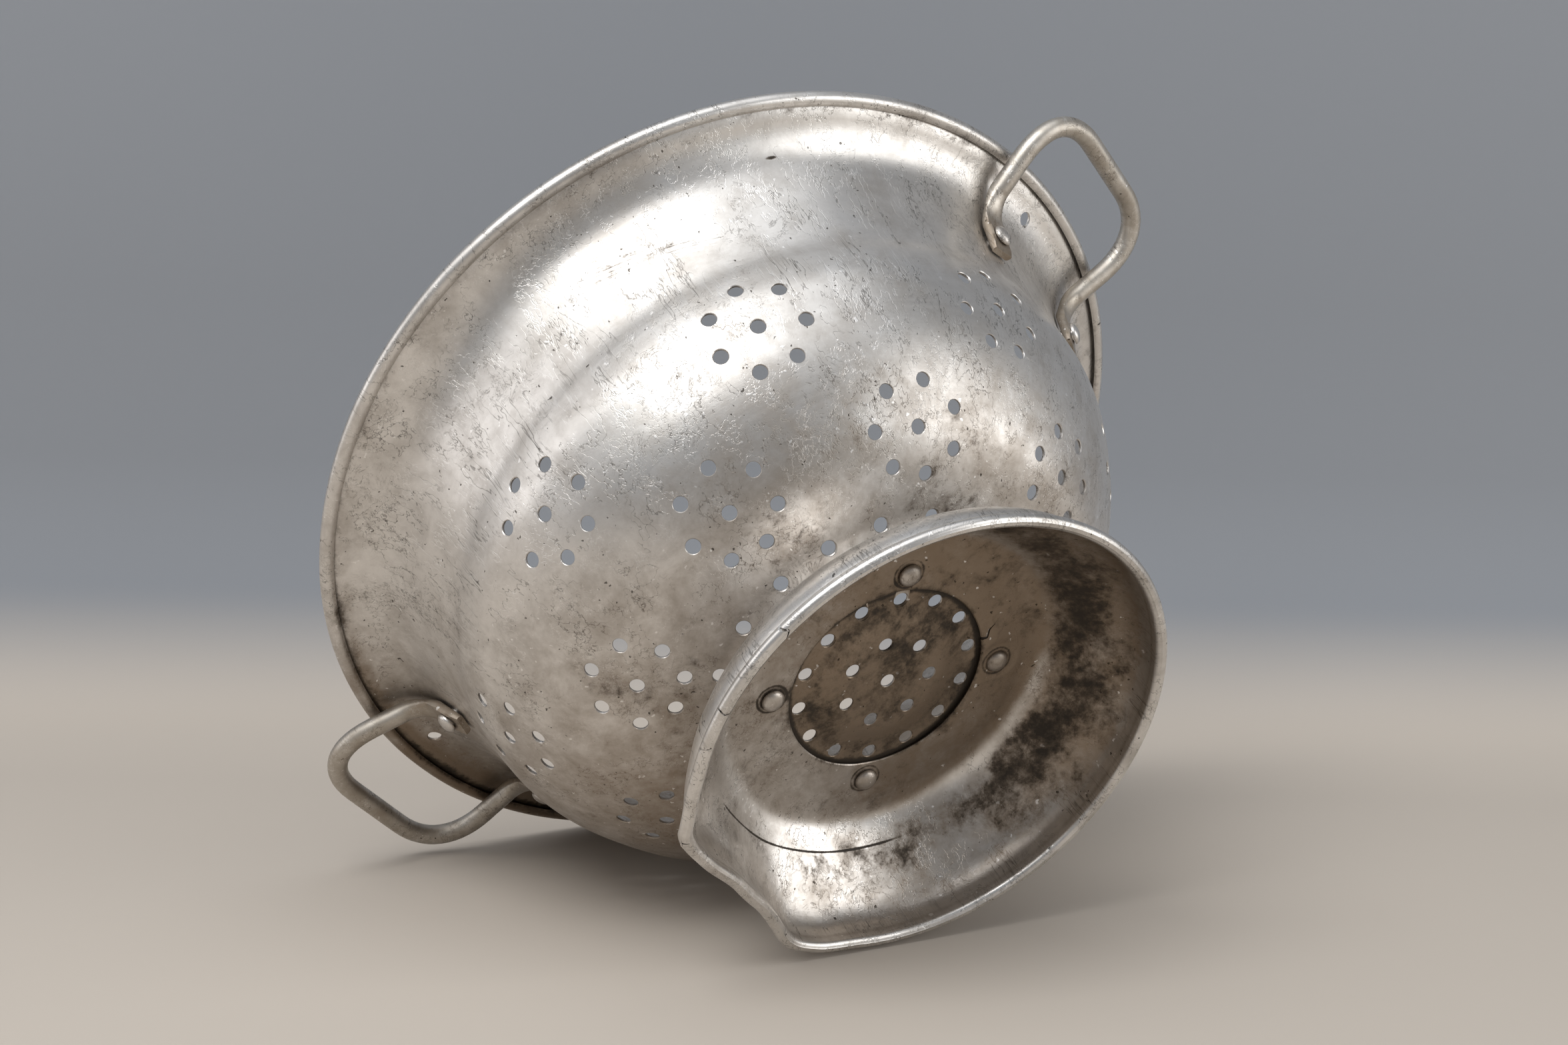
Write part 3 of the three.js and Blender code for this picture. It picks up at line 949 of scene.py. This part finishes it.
# Where the camera stands and which way it looks, in the colander's frame.
eye = Vector((43.39, -583.79, -481.99)) * MM
eye_right = Vector((0.75222, 0.49568, -0.43414))
eye_down = Vector((-0.65737, 0.51936, -0.54602))
eye_ahead = Vector((-0.04517, 0.69611, 0.71651))

far = (eye_ahead - TABLE_UP * eye_ahead.dot(TABLE_UP)).normalized()
wide = far.cross(TABLE_UP).normalized()
foot_of_eye = eye - TABLE_UP * (eye - table_at).dot(TABLE_UP)


def on_table(across, ahead, height):
    """A point given in metres across, ahead of and above the spot on the table under the camera."""
    return foot_of_eye + wide * across + far * ahead + TABLE_UP * height


bpy.ops.object.select_all(action="DESELECT")
bpy.ops.mesh.primitive_grid_add(x_subdivisions=2, y_subdivisions=60, size=1)
table = bpy.context.object
table.name = "pale_table"
# The sheet lies flat as far as BACK, bends up with the radius CURVE and then stands.
LENGTH = 4.6
WIDTH = 9
BEHIND_EYE = 1.2
BACK = 1.02
CURVE = 0.09
for vertex in table.data.vertices:
    run = (vertex.co.y + 0.5) * LENGTH - BEHIND_EYE - BACK
    if run < 0:
        ahead, height = BACK + run, 0
    elif run < CURVE * math.pi / 2:
        bend = run / CURVE
        ahead, height = BACK + CURVE * math.sin(bend), CURVE * (1 - math.cos(bend))
    else:
        ahead, height = BACK + CURVE, CURVE + run - CURVE * math.pi / 2
    vertex.co = on_table(vertex.co.x * WIDTH, ahead, height)
close_and_turn_out(table, SAME_POINT)
if table.data.polygons[0].normal.dot(TABLE_UP) < 0:
    table.data.flip_normals()
bpy.ops.object.shade_smooth()

# Pale below, greyer where it stands. Its back is clear, so that it hides nothing from low viewpoints.
PALE = (0.56, 0.505, 0.445, 1)
GREY = (0.27, 0.285, 0.31, 1)
paper = Finish("pale_table_paint")
above = paper.node("ShaderNodeVectorMath", {"operation": "DOT_PRODUCT"}, {0: paper.place, 1: TABLE_UP}, "Value")
above = paper.step(above - table_at.dot(TABLE_UP), 0.0, 0.05)
matte = paper.node("ShaderNodeBsdfDiffuse", {}, {"Color": paper.mix(above, PALE, GREY)})
clear = paper.node("ShaderNodeBsdfTransparent")
behind = paper.node("ShaderNodeNewGeometry", out="Backfacing")
surface = paper.node("ShaderNodeMixShader", {}, {0: behind, 1: matte, 2: clear})
table.data.materials.append(paper.lay(surface))


def soft_light(name, across, ahead, height, aim, width, depth, power, colour):
    """A large soft lamp over the table, turned to a point."""
    bpy.ops.object.select_all(action="DESELECT")
    at = on_table(across, ahead, height)
    bpy.ops.object.light_add(type="AREA", location=at)
    lamp = bpy.context.object
    lamp.name = name
    lamp.data.shape = "RECTANGLE"
    lamp.data.size, lamp.data.size_y = width, depth
    lamp.data.energy = power
    lamp.data.color = colour
    lamp.rotation_euler = (at - aim).to_track_quat("Z", "Y").to_euler()


middle = Vector((0, 0, 80)) * MM
soft_light("sky", -0.10, 0.32, 1.40, middle, 1.8, 1.3, 7.5, (0.98, 0.99, 1.0))
soft_light("key", -0.48, 0.02, 1.38, middle, 0.9, 0.8, 11, (1.0, 0.995, 0.985))
soft_light("window", 1.28, 0.40, 0.40, middle, 1.3, 0.7, 7.5, (1.0, 0.99, 0.97))
soft_light("side", -1.40, 0.50, 0.55, middle, 1.4, 1.0, 4.8, (1.0, 0.965, 0.94))

world = bpy.data.worlds.new("studio")
bpy.context.scene.world = world
world.use_nodes = True
background = world.node_tree.nodes["Background"]
background.inputs["Color"].default_value = (0.80, 0.84, 0.90, 1)
background.inputs["Strength"].default_value = 0.29

bpy.ops.object.select_all(action="DESELECT")
bpy.ops.object.camera_add()
camera = bpy.context.object
camera.name = "photographer"
camera.data.lens = 56.3
camera.data.sensor_width = 36
camera.data.clip_start = 0.01
camera.data.dof.use_dof = False
axes = Matrix((eye_right, -eye_down, -eye_ahead)).transposed()
camera.matrix_world = Matrix.Translation(eye) @ axes.to_4x4()
bpy.context.scene.camera = camera
# Plain tones, so that the metal's highlights stay bright.
bpy.context.scene.view_settings.view_transform = "Standard"
